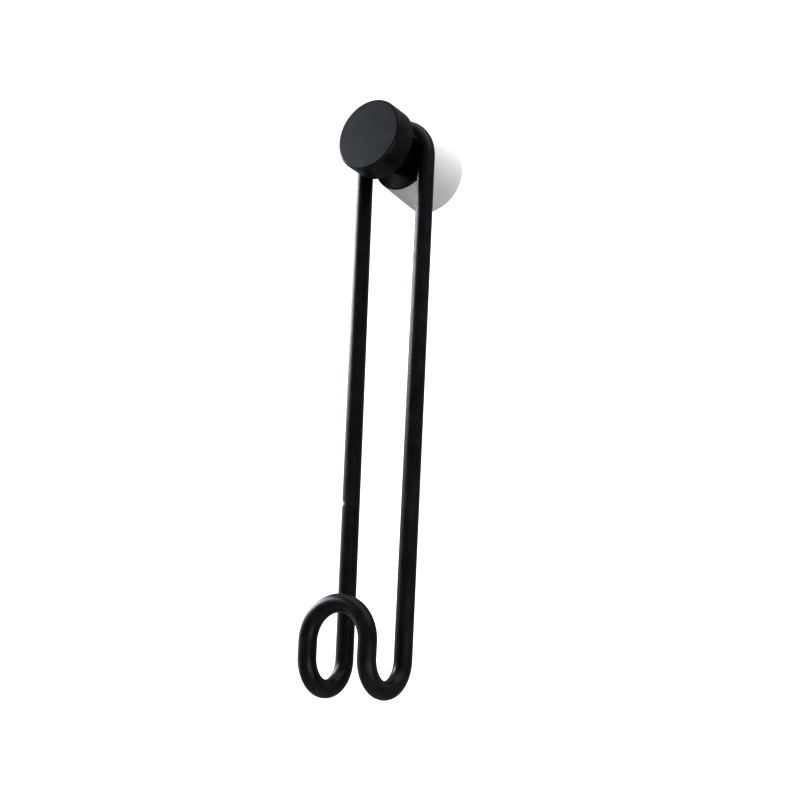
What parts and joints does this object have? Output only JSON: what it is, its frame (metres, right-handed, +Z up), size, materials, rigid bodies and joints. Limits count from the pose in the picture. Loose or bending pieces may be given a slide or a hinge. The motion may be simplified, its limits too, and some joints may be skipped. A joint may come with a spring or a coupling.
{
  "type": "wall hook",
  "caption": "Wall hook: a closed wire loop with a forward-folded double J hangs on the neck of a round knob that stands off the wall on a conical base.",
  "frame": {"origin": "centre of the rear pad's flat wall face, on the knob's axis", "axes": "+Y into the wall along the knob's axis, +Z up, +X to the right as seen from the room"},
  "size_m": [0.033, 0.0427, 0.2054],
  "materials": {
    "dark_rubber": "matte",
    "white_paint": "satin",
    "black_coat": "matte",
    "stud_steel": "plain"
  },
  "bodies": {
    "wall_mount": {"rear_pad": "dark_rubber", "base": "white_paint", "collar": "black_coat", "knob": "black_coat", "stud": "stud_steel"},
    "hook": {"hook_loop": "black_coat"}
  },
  "joints": [
    {"name": "swing", "type": "hinge", "parent": "wall_mount", "child": "hook", "pos_m": [0, -0.02443, -0.00419], "axis": [0, 1, 0], "range_deg": [-90, 90]}
  ]
}
